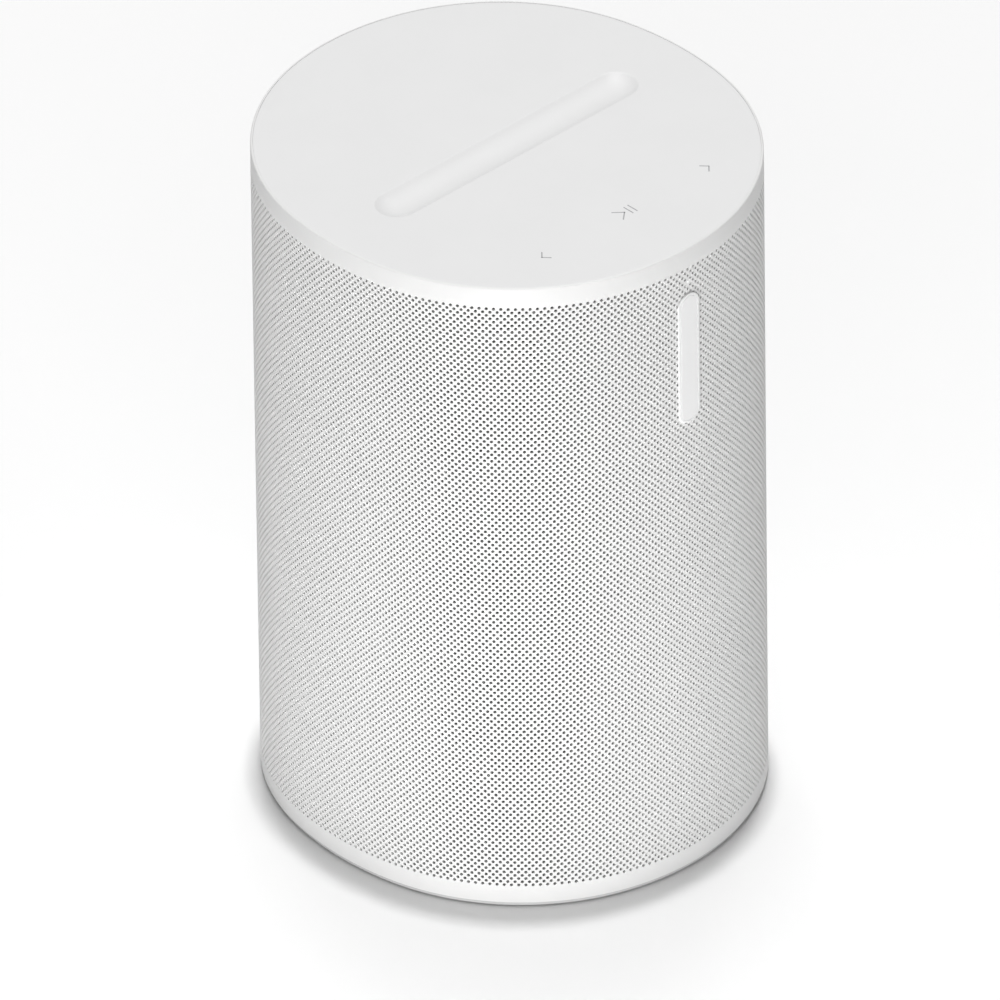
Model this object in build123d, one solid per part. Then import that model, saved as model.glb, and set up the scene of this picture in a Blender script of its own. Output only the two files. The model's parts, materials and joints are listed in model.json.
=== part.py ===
from build123d import *
import os
from math import cos, degrees, radians, sin

# A small oval-section smart speaker. Millimetres, +Z up, front towards -Y.
# The origin is on the surface it stands on, under the middle of the body.

# ---- Driving dimensions ----
# Oval of the body: side, corner and front arcs, each tangent to the next
half_width = 60.0
half_depth = 63.35
side_radius = 82.0
side_arc_end = radians(12)
front_arc_start = radians(72)

# Outer sleeve, top cover and base
sleeve_bottom = 1.4
sleeve_height = 182.0
sleeve_top = sleeve_bottom + sleeve_height
sleeve_wall = 1.5
lip_wall = 0.6
lip_radius = 0.45
fit_gap = 0.08
cover_thickness = 2.0
cover_skirt_depth = 4.0
cover_skirt_wall = 1.4
trough_length = 84.7
trough_width = 11.2
trough_depth = 1.6
trough_lip_radius = 1.2
base_inset = 0.6
base_bottom = 0.4
base_floor_top = 4.4
foot_inset = 3.2
foot_width = 6.6
foot_top = 1.2

# Touch symbols: chevrons at the sides, a chevron and two bars in the middle
symbol_row_y = -41.3
symbol_stroke = 0.32
symbol_depth = 0.3
symbol_spacing = 27.0

# The rows of fine holes in the sleeve. The holes themselves are left out of its solid,
# except the one in the fifth row that the status light's pipe fills.
first_row_drop = 6.0
row_pitch = 0.953
light_row = 4

# Badge and status light on the front centre line
badge_width = 7.0
badge_height = 37.8
badge_middle_z = 151.5
badge_thickness = 0.45
light_z = sleeve_top - first_row_drop - light_row * row_pitch
light_tip_radius = 0.36

# Rear connection panel, pairing button, microphone switch and USB socket
panel_z = 118.0
panel_width = 24.0
panel_height = 62.0
panel_recess = 1.0
panel_back_inset = 3.2
button_z = 138.0
button_radius = 4.3
button_travel = 0.5
slider_z = 118.0
slider_width = 3.6
slider_height = 5.0
slider_travel = 2.8
usb_z = 100.0
usb_width = 8.94
usb_height = 3.16
board_thickness = 1.6
io_board_front = 49.0
io_board_rear = io_board_front + board_thickness

# Mains inlet
inlet_z = 24.0
inlet_width = 17.6
inlet_height = 10.6
inlet_face = 63.0
inlet_back = 44.0
inlet_cavity_width = 14.6
inlet_cavity_height = 8.0
inlet_cavity_floor = 48.0
pin_radius = 1.2
pin_spacing = 8.6

# Lower housing and power supply
housing_inset = 5.0
housing_wall = 2.5
housing_floor_top = 6.4
housing_top = 38.2
post_x = 38.0
post_y = 26.0
post_radius = 4.0
peg_radius = 2.4
peg_length = 8.0
power_board_z = 12.0

# Sealed enclosure: baffle, gasket and shell
enclosure_inset = 4.5
enclosure_wall = 3.0
enclosure_top = 126.0
baffle_front = -37.2
baffle_thickness = 4.0
gasket_thickness = 0.8
shell_rear = 31.0

# Woofer: radii about its axis, and distances in front of the body's axis
woofer_z = 82.2
woofer_flange_radius = 39.0
woofer_flange_back = 38.0
woofer_flange_front = 40.5
basket_mouth_radius = 32.5
basket_back_radius = 24.0
basket_back = 18.0
basket_wall = 1.5
cone_radius = 28.5
cone_back = 25.5
coil_inner_radius = 8.75
coil_outer_radius = 9.25
pole_radius = 8.3

# Tweeters, one on each side of the front
tweeter_z = 147.0
tweeter_turn = radians(50)
tweeter_plate_front = 42.0
tweeter_plate_thickness = 4.0
dome_radius = 10.3
dome_base = 43.0
dome_rise = 4.0
waveguide_front = 54.0

# Upper frames, touch board and main board
tweeter_floor_top = 128.4
bracket_front = -41.2
bracket_rear = 30.0
middle_wall_reach = 19.2
middle_wall_thickness = 1.6
top_frame_bottom = 166.0
top_frame_top = 168.4
touch_board_bottom = 178.4
touch_board_top = touch_board_bottom + board_thickness
main_board_front = 36.0
main_board_rear = main_board_front + board_thickness

# Fasteners, as (shaft radius, shaft length, head radius, head height)
case_screw_size = (1.5, 12.0, 2.8, 1.8)
driver_screw_size = (1.25, 6.0, 1.8, 1.4)
board_screw_size = (1.25, 5.5, 2.2, 1.3)
thread_room = 0.05

# ---- Shared shapes ----


def body_arcs():
    """Centre and radius of the oval's side, corner and front arcs in the +X, +Y quarter."""
    c1, s1 = cos(side_arc_end), sin(side_arc_end)
    c2, s2 = cos(front_arc_start), sin(front_arc_start)
    side_x = half_width - side_radius
    across = side_x + side_radius * c1
    along = half_depth - side_radius * s1
    det = (c1 - c2) * (1 - s2) - c2 * (s2 - s1)
    corner_radius = (across * (1 - s2) - along * c2) / det
    front_radius = (along * (c1 - c2) - across * (s2 - s1)) / det
    corner_x = side_x + (side_radius - corner_radius) * c1
    corner_y = (side_radius - corner_radius) * s1
    side = (side_x, 0, side_radius)
    corner = (corner_x, corner_y, corner_radius)
    front = (0, half_depth - front_radius, front_radius)
    return side, corner, front


def oval(inset):
    """The body's outline, moved inwards by inset, as a flat face about the origin."""
    side, corner, front = body_arcs()
    side_span = degrees(side_arc_end)
    front_span = 90 - degrees(front_arc_start)
    corner_span = 90 - side_span - front_span
    quarter = [
        CenterArc((side[0], 0), side[2] - inset, 0, side_span),
        CenterArc((corner[0], corner[1]), corner[2] - inset, side_span, corner_span),
        CenterArc((0, front[1]), front[2] - inset, 90 - front_span, front_span),
    ]
    half = quarter + [arc.mirror(Plane.YZ) for arc in quarter]
    return make_face(half + [arc.mirror(Plane.XZ) for arc in half])


def oval_prism(inset, low, high):
    """The oval, inset, from one height to another."""
    return extrude(Pos(0, 0, low) * oval(inset), amount=high - low)


def oval_ring(outer_inset, inner_inset, low, high):
    """The wall between two insets of the oval."""
    return oval_prism(outer_inset, low, high) - oval_prism(inner_inset, low, high)


def block(x, y, z):
    """A box given by its (low, high) along each axis."""
    size = [high - low for low, high in (x, y, z)]
    middle = [(high + low) / 2 for low, high in (x, y, z)]
    return Pos(*middle) * Box(*size)


def along_y(sketch, low, high):
    """A sketch drawn in X and Z, as a prism between two distances along Y."""
    plane = Plane(origin=(0, high, 0), x_dir=(1, 0, 0), z_dir=(0, -1, 0))
    return extrude(plane * sketch, amount=high - low)


def pill(x, z, width, height):
    """A fully rounded slot outline in X and Z."""
    middle = Pos(x, z)
    if width > height:
        return middle * SlotOverall(width, height)
    return middle * SlotOverall(height, width, rotation=90)


def rod_y(x, z, radius, low, high):
    """A round rod along Y."""
    return along_y(Pos(x, z) * Circle(radius), low, high)


def rod_z(x, y, radius, low, high):
    """A round rod along Z."""
    return extrude(Pos(x, y, low) * Circle(radius), amount=high - low)


def turned(*points):
    """A solid turned about Z from a closed outline of (radius, height) points."""
    return revolve(Plane.XZ * make_face(Polyline(*points, close=True)), Axis.Z)


def ring(inner, outer, low, high):
    """A flat ring about Z."""
    return turned((inner, low), (outer, low), (outer, high), (inner, high))


def screw(size):
    """A screw whose head sits on Z = 0, with its shaft below."""
    shaft_radius, shaft_length, head_radius, head_height = size
    shaft = extrude(Circle(shaft_radius), amount=-shaft_length)
    head = extrude(Circle(head_radius), amount=head_height)
    hexagon = Pos(0, 0, head_height) * RegularPolygon(head_radius * 0.5, 6)
    recess = extrude(hexagon, amount=-head_height * 0.6)
    return shaft + head - recess


def drill(part, places, size, spare=0.3):
    """Holes for screws of one size at the places where their heads sit."""
    shaft_radius, shaft_length = size[0] + thread_room, size[1] + spare
    for place in places:
        part -= place * extrude(Circle(shaft_radius), amount=-shaft_length)
    return part


def facing(direction, point):
    """A place at a point, with local Z along a direction."""
    across = (1, 0, 0) if abs(direction[0]) < 0.5 else (0, 1, 0)
    return Plane(origin=point, x_dir=across, z_dir=direction)


def four(x, low_y, high_y):
    """The four corners (-x, low), (-x, high), (x, low) and (x, high)."""
    return [(sx * x, y) for sx in (-1, 1) for y in (low_y, high_y)]


# ---- Where the screws go ----
counterbore_depth = 2.0
base_screws = [
    facing((0, 0, -1), (x, y, base_bottom + counterbore_depth)) for x, y in four(post_x, -post_y, post_y)
]
corner_bosses = four(41.0, 44.2, 120.0)
baffle_screws = [facing((0, -1, 0), (x, baffle_front, z)) for x, z in corner_bosses]
tweeter_frame_screws = [facing((0, 0, 1), (x, y, tweeter_floor_top)) for x, y in four(30.0, -8.0, 12.0)]
frame_posts = [(-30.0, 22.0), (30.0, 22.0), (0.0, -30.0)]
top_frame_screws = [facing((0, 0, 1), (x, y, top_frame_top)) for x, y in frame_posts]
woofer_screws = [
    facing((0, -1, 0), (x, -woofer_flange_front, woofer_z + z)) for x, z in four(26.0, -26.0, 26.0)
]
power_board_screws = [
    facing((0, 0, 1), (x, y, power_board_z + board_thickness)) for x, y in four(24.0, -26.0, 30.0)
]
main_board_screws = [facing((0, 1, 0), (x, main_board_rear, z)) for x, z in four(34.0, 50.0, 118.0)]
touch_posts = four(20.0, -46.0, 46.0)
touch_board_screws = [facing((0, 0, 1), (x, y, touch_board_top)) for x, y in touch_posts]
io_posts = four(9.0, 92.5, 143.5)
io_board_screws = [facing((0, -1, 0), (x, io_board_front, z)) for x, z in io_posts]

# ---- Outside ----


def grille_sleeve():
    """The white sleeve around the body, open at both ends, with its two rear openings."""
    outer = oval_prism(0, sleeve_bottom, sleeve_top)
    outer = fillet(outer.faces().sort_by(Axis.Z)[-1].edges(), lip_radius)
    sleeve = outer - oval_prism(sleeve_wall, sleeve_bottom, sleeve_top)
    sleeve -= oval_prism(lip_wall, sleeve_top - cover_thickness, sleeve_top)
    rear = (half_depth - 8, half_depth + 1)
    sleeve -= along_y(pill(0, panel_z, panel_width, panel_height), *rear)
    sleeve -= along_y(pill(0, inlet_z, inlet_width + 0.4, inlet_height + 0.4), *rear)
    sleeve -= rod_y(0, light_z, light_tip_radius + 0.04, -half_depth - 1, -half_depth + 8)
    return sleeve


def trough_cut():
    """What is hollowed from the top: a round-bottomed groove with round ends."""
    half = trough_width / 2
    radius = (half**2 + trough_depth**2) / (2 * trough_depth)
    straight = trough_length - trough_width
    height = sleeve_top + radius - trough_depth
    cut = Pos(0, 0, height) * Rot(0, 90, 0) * Cylinder(radius, straight)
    for side in (-1, 1):
        cut += Pos(side * straight / 2, 0, height) * Sphere(radius)
    return cut


def symbol_stroke_between(start, end):
    """One straight stroke of a touch symbol, with round ends."""
    path = Vector(end[0] - start[0], end[1] - start[1])
    angle = Vector(1, 0).get_signed_angle(path)
    middle = Pos((start[0] + end[0]) / 2, (start[1] + end[1]) / 2)
    outline = middle * Rot(0, 0, angle) * SlotOverall(path.length + symbol_stroke, symbol_stroke)
    return extrude(Pos(0, 0, sleeve_top - symbol_depth) * outline, amount=symbol_depth)


def chevron(x, reach, height):
    """An arrowhead that opens towards -X for a positive reach."""
    tip = (x + reach / 2, symbol_row_y)
    ends = [(x - reach / 2, symbol_row_y + side * height / 2) for side in (-1, 1)]
    return symbol_stroke_between(ends[0], tip) + symbol_stroke_between(ends[1], tip)


def touch_icons():
    """Inlaid symbols for back, play or pause, and forward."""
    symbols = [
        chevron(-symbol_spacing, -1.5, 3.2),
        chevron(-1.15, 2.3, 4.0),
        chevron(symbol_spacing + 0.7, 1.5, 3.2),
    ]
    for x in (1.33, 2.67):
        symbols.append(symbol_stroke_between((x, symbol_row_y - 1.6), (x, symbol_row_y + 1.6)))
    return Compound(children=[s.solid() for s in symbols])


def top_cover(icons):
    """The smooth touch cover, set inside the sleeve, with its volume trough."""
    under = sleeve_top - cover_thickness
    cover = oval_prism(lip_wall + fit_gap, under, sleeve_top)
    skirt_outline = sleeve_wall + fit_gap
    cover += oval_ring(skirt_outline, skirt_outline + cover_skirt_wall, under - cover_skirt_depth, under)
    rib_drop = 1.2
    rib = Pos(0, 0, under - rib_drop) * SlotOverall(trough_length + 4, trough_width + 4)
    cover += extrude(rib, amount=rib_drop)
    cover -= trough_cut()
    lip = cover.edges().filter_by_position(Axis.Z, sleeve_top - 0.01, sleeve_top + 0.01)
    lip = lip.filter_by_position(Axis.Y, -trough_width / 2 - 0.1, trough_width / 2 + 0.1)
    lip = lip.filter_by_position(Axis.X, -trough_length / 2 - 0.1, trough_length / 2 + 0.1)
    cover = fillet(lip, trough_lip_radius)
    return cover - icons


def front_badge():
    """A plain raised badge bonded to the sleeve."""
    raised = oval_ring(-badge_thickness, 0, badge_middle_z - badge_height, badge_middle_z + badge_height)
    outline = pill(0, badge_middle_z, badge_width, badge_height)
    return raised & along_y(outline, -half_depth - 2, -half_depth + 3)


def base_plate():
    """The base: a shallow plinth that the sleeve stands on, and a floor inside the sleeve."""
    base = oval_prism(base_inset, base_bottom, sleeve_bottom)
    base += oval_prism(sleeve_wall + 0.1, sleeve_bottom, base_floor_top)
    base -= oval_ring(foot_inset - 0.05, foot_inset + foot_width + 0.05, base_bottom, foot_top)
    for place in base_screws:
        base -= place * extrude(Circle(3.2), amount=counterbore_depth)
    return drill(base, base_screws, case_screw_size)


def rubber_foot():
    """A soft ring pressed into the groove under the base."""
    return oval_ring(foot_inset, foot_inset + foot_width, 0, foot_top)


# ---- Lower housing and power supply ----


def lower_housing():
    """The cup that holds the power supply and carries the enclosure on four posts."""
    housing = oval_prism(housing_inset, base_floor_top, housing_top)
    housing -= oval_prism(housing_inset + housing_wall, housing_floor_top, housing_top)
    peg_hole_radius = peg_radius + fit_gap
    for x, y in four(post_x, -post_y, post_y):
        post = rod_z(x, y, post_radius, housing_floor_top, housing_top)
        housing += post
        housing -= rod_z(x, y, peg_hole_radius, housing_top - peg_length - 1, housing_top)
    boss_radius = 2.8
    for x, y in four(24.0, -26.0, 30.0):
        housing += rod_z(x, y, boss_radius, housing_floor_top, power_board_z)
    housing -= block((-11.4, 11.4), (inlet_back - 1, half_depth), (inlet_z - 7.9, inlet_z + 7.9))
    housing = drill(housing, base_screws, case_screw_size)
    return drill(housing, power_board_screws, board_screw_size)


def power_board():
    """The power supply's circuit board."""
    board = block((-28, 28), (-32, 43), (power_board_z, power_board_z + board_thickness))
    return drill(board, power_board_screws, board_screw_size)


def power_transformer():
    """The transformer: two core halves around a wound bobbin."""
    top = power_board_z + board_thickness
    x, y = -8.0, -6.0
    core = block((x - 12, x + 12), (y - 6, y + 6), (top, top + 19))
    core -= block((x - 8, x + 8), (y - 7, y + 7), (top + 4, top + 15))
    winding = block((x - 7.8, x + 7.8), (y - 11, y + 11), (top + 4.2, top + 14.8))
    return Compound(children=[core.solid(), winding.solid()])


def power_capacitors():
    """Round capacitors and a choke on the power board."""
    top = power_board_z + board_thickness
    cans = [(15, -16, 6.3, 18), (17, 2, 5, 16), (-14, 20, 5, 14), (0, 14, 4, 12), (14, 20, 6, 9)]
    return Compound(children=[rod_z(x, y, r, top, top + h).solid() for x, y, r, h in cans])


def inlet_cavity():
    """The hollow that the mains connector goes into."""
    outline = pill(0, inlet_z, inlet_cavity_width, inlet_cavity_height)
    return along_y(outline, inlet_cavity_floor, half_depth + 1)


def power_inlet():
    """The two-pin mains inlet, with its nose in the sleeve's lower rear opening."""
    flange_face = 60.4
    nose = along_y(pill(0, inlet_z, inlet_width, inlet_height), flange_face, inlet_face)
    body = block((-11, 11), (inlet_back, flange_face), (inlet_z - 7.5, inlet_z + 7.5))
    inlet = body + nose - inlet_cavity()
    for side in (-1, 1):
        inlet -= rod_y(side * pin_spacing / 2, inlet_z, pin_radius, inlet_back, inlet_cavity_floor)
    return inlet


def inlet_pins():
    """The inlet's two round contact pins."""
    tip = inlet_face - 3
    pins = [rod_y(side * pin_spacing / 2, inlet_z, pin_radius, inlet_back, tip) for side in (-1, 1)]
    return Compound(children=[pin.solid() for pin in pins])


# ---- Sealed enclosure ----


def enclosure_slice(inset, low_y, high_y, low_z, high_z):
    """The oval, inset, cut off at the front and the rear."""
    return oval_prism(inset, low_z, high_z) & block((-70, 70), (low_y, high_y), (low_z, high_z))


def enclosure_baffle():
    """The stiff front wall that the woofer is screwed to."""
    back = baffle_front + baffle_thickness
    baffle = enclosure_slice(enclosure_inset, baffle_front, back, housing_top, enclosure_top)
    baffle -= rod_y(0, woofer_z, 34.6, baffle_front, back)
    baffle = drill(baffle, baffle_screws, case_screw_size)
    return drill(baffle, woofer_screws, driver_screw_size)


def enclosure_gasket():
    """The seal between the baffle and the shell."""
    front = baffle_front + baffle_thickness
    back = front + gasket_thickness
    seal = enclosure_slice(enclosure_inset, front, back, housing_top, enclosure_top)
    low, high = housing_top + enclosure_wall, enclosure_top - enclosure_wall
    seal -= enclosure_slice(enclosure_inset + enclosure_wall, front, back, low, high)
    for x, z in corner_bosses:
        seal += rod_y(x, z, 4, front, back)
    return drill(seal, baffle_screws, case_screw_size)


def enclosure_shell():
    """The closed rear box behind the woofer, with pegs below and bosses for the boards."""
    front = baffle_front + baffle_thickness + gasket_thickness
    shell = enclosure_slice(enclosure_inset, front, shell_rear, housing_top, enclosure_top)
    low, high = housing_top + enclosure_wall, enclosure_top - enclosure_wall
    back = shell_rear - enclosure_wall
    shell -= enclosure_slice(enclosure_inset + enclosure_wall, front, back, low, high)
    for x, z in corner_bosses:
        shell += rod_y(x, z, 4, front, front + 12)
    for x, y in four(30.0, -8.0, 12.0):
        shell += rod_z(x, y, 4, enclosure_top - 13, enclosure_top)
    for x, z in four(34.0, 50.0, 118.0):
        shell += rod_y(x, z, 3.5, shell_rear, main_board_front)
    for x, y in four(post_x, -post_y, post_y):
        shell += rod_z(x, y, peg_radius, housing_top - peg_length, housing_top)
    shell = drill(shell, baffle_screws, case_screw_size)
    shell = drill(shell, tweeter_frame_screws, case_screw_size)
    return drill(shell, main_board_screws, board_screw_size)


def acoustic_wadding():
    """Soft wadding that fills the space behind the woofer's magnet."""
    return block((-38, 38), (9, 26), (62, 110))


# ---- Woofer, turned about its own axis and then set in the baffle ----
woofer_place = Plane(origin=(0, 0, woofer_z), x_dir=(1, 0, 0), z_dir=(0, -1, 0))


def woofer_basket():
    """The cast frame of the woofer, with six windows between its spokes."""
    back, mouth = basket_back, woofer_flange_back
    flange = ring(basket_mouth_radius, woofer_flange_radius, woofer_flange_back, woofer_flange_front)
    cone_wall = turned(
        (basket_back_radius, back),
        (basket_back_radius + basket_wall, back),
        (basket_mouth_radius + basket_wall, mouth),
        (basket_mouth_radius, mouth),
    )
    windows = 6
    opening = Pos(28, 0, (back + mouth) / 2 + 1.5) * Box(20, 16, 12)
    for index in range(windows):
        cone_wall -= Rot(0, 0, 30 + index * 360 / windows) * opening
    ledge = ring(21.5, basket_back_radius + 2.0, 20.5, 21.8)
    back_plate = ring(12, basket_back_radius + basket_wall, basket_back - 2, basket_back)
    basket = flange + cone_wall + ledge + back_plate
    tab = Pos(0, -basket_back_radius - 4.5, back) * Box(12, 9, 4)
    basket = woofer_place * (basket + tab)
    return drill(basket, woofer_screws, driver_screw_size)


def woofer_gasket():
    """The seal under the woofer's flange."""
    seal = woofer_place * ring(34.6, woofer_flange_radius, -baffle_front, woofer_flange_back)
    return drill(seal, woofer_screws, driver_screw_size)


def woofer_motor():
    """The woofer's top plate, ring magnet and yoke with its pole, from front to back."""
    top_plate = ring(9.7, 26, 11, basket_back - 2)
    magnet = ring(13, 30, -2, 11)
    yoke = ring(0, 27, -7, -2) + ring(0, pole_radius, -2, basket_back - 2)
    return woofer_place * top_plate, woofer_place * magnet, woofer_place * yoke


def woofer_cone():
    """The paper cone, with its neck glued round the voice coil."""
    neck, thickness = coil_outer_radius, 0.7
    front = woofer_flange_front
    return woofer_place * turned(
        (neck, cone_back - 2),
        (neck + thickness, cone_back - 2),
        (neck + thickness, cone_back),
        (cone_radius, front - thickness),
        (cone_radius, front),
        (cone_radius - thickness, front),
        (neck, cone_back + thickness),
    )


def cap_shell(radius, rise, thickness, base):
    """A shallow domed cap about Z, standing on base."""
    curve = (radius**2 + rise**2) / (2 * rise)
    centre = Pos(0, 0, base + rise - curve)
    shell = centre * Sphere(curve) - centre * Sphere(curve - thickness)
    return shell & extrude(Pos(0, 0, base) * Circle(radius + 1), amount=rise + 1)


def woofer_dust_cap():
    """The domed cap over the middle of the cone."""
    return woofer_place * cap_shell(12.5, 3.2, 0.5, cone_back + 3.6)


def woofer_voice_coil():
    """The coil and its former, in the gap between the pole and the top plate."""
    return woofer_place * ring(coil_inner_radius, coil_outer_radius, 10.5, cone_back)


def woofer_surround():
    """The rubber half-roll that carries the cone's rim."""
    roll_middle, roll_radius, thickness = 30.75, 2.45, 0.5
    front = woofer_flange_front
    lip_top = front + thickness
    roll = Circle(roll_radius) - Circle(roll_radius - thickness)
    roll = Pos(roll_middle, front) * roll
    roll &= Pos(roll_middle, front + roll_radius / 2) * Rectangle(2 * roll_radius + 1, roll_radius)
    surround = revolve(Plane.XZ * roll, Axis.Z)
    surround += ring(cone_radius - 1.2, roll_middle - roll_radius + 0.2, front, lip_top)
    surround += ring(roll_middle + roll_radius - 0.2, 34.8, front, lip_top)
    return woofer_place * surround


def woofer_spider():
    """The corrugated disc that keeps the voice coil centred."""
    steps, inner, outer, base, wave = 6, coil_outer_radius + 0.05, 23.4, 21.8, 0.8
    pitch = (outer - inner) / steps
    heights = [base + (wave if index % 2 else 0) for index in range(steps)] + [base]
    low = [(inner + index * pitch, height) for index, height in enumerate(heights)]
    high = [(radius, height + 0.4) for radius, height in reversed(low)]
    return woofer_place * turned(*low, *high)


# ---- Tweeters: each is turned about its own axis and faces its own side ----


def tweeter_place(side):
    """The tweeter's own frame: Z out of the face, from the body's axis."""
    direction = (side * sin(tweeter_turn), -cos(tweeter_turn), 0)
    return Plane(origin=(0, 0, tweeter_z), x_dir=(0, 0, 1), z_dir=direction)


def tweeter_screw_places(side):
    """Three places on the waveguide's flange."""
    place = tweeter_place(side)
    flange_front = tweeter_plate_front + 2.5
    return [place * (Rot(0, 0, turn) * Pos(16.5, 0, flange_front)) for turn in (60, 180, 300)]


def tweeter_motor(side):
    """The tweeter's magnet and plates, with the gap for its coil."""
    motor = ring(0, 14, 30, 41.5) - ring(9.7, 10.6, 37, 41.5)
    return tweeter_place(side) * motor


def tweeter_waveguide(side):
    """The flared mouth in front of the dome, with its mounting flange."""
    back, front = tweeter_plate_front, waveguide_front
    guide = turned(
        (12.4, back),
        (18.4, back),
        (18.4, back + 2.5),
        (14.5, back + 2.5),
        (14.5, front),
        (13.9, front),
        (11.3, back + 3.2),
        (12.4, back + 3.2),
    )
    return drill(tweeter_place(side) * guide, tweeter_screw_places(side), driver_screw_size)


def tweeter_dome(side):
    """The domed diaphragm."""
    return tweeter_place(side) * cap_shell(dome_radius, dome_rise, 0.4, dome_base)


def tweeter_voice_coil(side):
    """The coil under the dome's rim."""
    return tweeter_place(side) * ring(9.95, dome_radius, 38.5, dome_base)


def tweeter_surround(side):
    """The flexible ring that carries the dome, on a seat in front of the motor."""
    return tweeter_place(side) * turned(
        (11.4, 41.5),
        (12.3, 41.5),
        (12.3, 43.3),
        (dome_radius + 0.02, 43.0),
        (dome_radius + 0.02, 42.6),
        (11.4, 42.8),
    )


def tweeter_frame():
    """The bracket above the enclosure: the tweeters' plates, a wall between them and three posts."""
    frame = enclosure_slice(housing_inset, bracket_front, bracket_rear, enclosure_top, tweeter_floor_top)
    across = (-middle_wall_reach, middle_wall_reach)
    along = (bracket_front, bracket_front + middle_wall_thickness)
    frame += block(across, along, (tweeter_floor_top, top_frame_bottom))
    back, front = tweeter_plate_front - tweeter_plate_thickness, tweeter_plate_front
    for side in (-1, 1):
        low, high = tweeter_floor_top - tweeter_z, top_frame_bottom - tweeter_z
        plate = block((low, high), (-19.5, 19.5), (back, front))
        plate -= extrude(Pos(0, 0, back) * Circle(14.1), amount=tweeter_plate_thickness)
        frame += tweeter_place(side) * plate
    for x, y in frame_posts:
        frame += rod_z(x, y, 4, tweeter_floor_top, top_frame_bottom)
    frame = drill(frame, tweeter_frame_screws, case_screw_size)
    frame = drill(frame, top_frame_screws, case_screw_size)
    for side in (-1, 1):
        frame = drill(frame, tweeter_screw_places(side), driver_screw_size)
    return frame


# ---- Top frame and touch board ----
mic_turns = (27.5, 152.5, 207.5, 332.5)
mic_reach = 51.5
mic_length = 4.0
mic_width = 3.0
mic_bottom = touch_board_bottom - 1.1
ribbon_y = 35.0


def top_frame():
    """The plate that closes the body under the cover, with posts for the touch board."""
    frame = oval_prism(3.5, top_frame_bottom, top_frame_top)
    frame -= block((-9, 9), (ribbon_y - 2, ribbon_y + 3), (top_frame_bottom, top_frame_top))
    for turn in range(0, 360, 60):
        frame -= Rot(0, 0, turn + 30) * rod_z(16, 0, 5.5, top_frame_bottom, top_frame_top)
    for x, y in touch_posts:
        frame += rod_z(x, y, 3, top_frame_top, touch_board_bottom)
    frame = drill(frame, top_frame_screws, case_screw_size)
    return drill(frame, touch_board_screws, board_screw_size)


def touch_board():
    """The touch-sensing circuit board under the cover."""
    board = oval_prism(6, touch_board_bottom, touch_board_top)
    return drill(board, touch_board_screws, board_screw_size)


def microphone_block(room):
    """The space that one microphone takes up, with some room around it."""
    x = (mic_reach - mic_length / 2 - room, mic_reach + mic_length / 2 + room)
    y = (-mic_width / 2 - room, mic_width / 2 + room)
    return block(x, y, (mic_bottom, touch_board_bottom))


def microphones():
    """Four microphone cans under the touch board's edge."""
    can = microphone_block(0)
    return Compound(children=[(Rot(0, 0, turn) * can).solid() for turn in mic_turns])


def mic_boots():
    """Rubber boots that lead sound from the sleeve to each microphone."""
    low, port_z, port_radius = 173.4, 175.4, 0.75
    boot = block((48.5, 57.2), (-3, 3), (low, touch_board_bottom))
    boot -= microphone_block(0.02)
    boot -= rod_z(mic_reach, 0, port_radius, port_z, mic_bottom + 0.1)
    boot -= Pos(mic_reach + 3, 0, port_z) * Rot(0, 90, 0) * Cylinder(port_radius, 6.2)
    return Compound(children=[(Rot(0, 0, turn) * boot).solid() for turn in mic_turns])


def status_led():
    """The status lamp under the touch board's front edge."""
    return block((-0.9, 0.9), (-56.9, -55.1), (touch_board_bottom - 0.8, touch_board_bottom))


def light_pipe():
    """The clear bar that leads the lamp's light to one hole of the sleeve."""
    inner_face = -half_depth + sleeve_wall + 0.1
    pipe = block((-1, 1), (-57, -55), (light_z - 1, touch_board_bottom - 0.9))
    pipe += rod_y(0, light_z, 1.0, inner_face, -55)
    return pipe + rod_y(0, light_z, light_tip_radius, -half_depth, inner_face)


# ---- Main board behind the enclosure ----


def main_board():
    """The main circuit board."""
    board = block((-38, 38), (main_board_front, main_board_rear), (46, 122))
    return drill(board, main_board_screws, board_screw_size)


def main_board_chips():
    """Shield can, memory, radio module, amplifier, coils and connectors on the main board."""
    rear = main_board_rear
    parts = [
        block((-30, -8), (rear, rear + 3), (88, 110)),
        block((2, 12), (rear, rear + 1.2), (92, 104)),
        block((18, 32), (rear, rear + 2.5), (92, 108)),
        block((-6, 6), (rear, rear + 2.2), (60, 72)),
        block((22.5, 30.5), (rear, rear + 5), (46, 52)),
        block((-8, 8), (rear, rear + 3), (110, 114)),
        block((-7, 7), (ribbon_y - 0.8, main_board_front), (116, 120)),
    ]
    for z in (57, 67, 77):
        parts.append(rod_y(-31, z, 4, rear, rear + 4.5))
    return Compound(children=[part.solid() for part in parts])


def heat_sink():
    """The finned plate on the amplifier."""
    base = main_board_rear + 2.2
    sink = block((-20, 20), (base, base + 2), (53, 80))
    fins, fin_wall, pitch = 9, 1.2, 4.85
    for index in range(fins):
        x = -20 + index * pitch
        sink += block((x, x + fin_wall), (base + 2, base + 6.5), (53, 80))
    return sink


def antennas():
    """Two antenna boards standing at the sides of the tweeter bracket."""
    boards = [block((side - 0.4, side + 0.4), (2, 22), (tweeter_floor_top, 158)) for side in (-46, 46)]
    return Compound(children=[board.solid() for board in boards])


# ---- Rear connections ----


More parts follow.
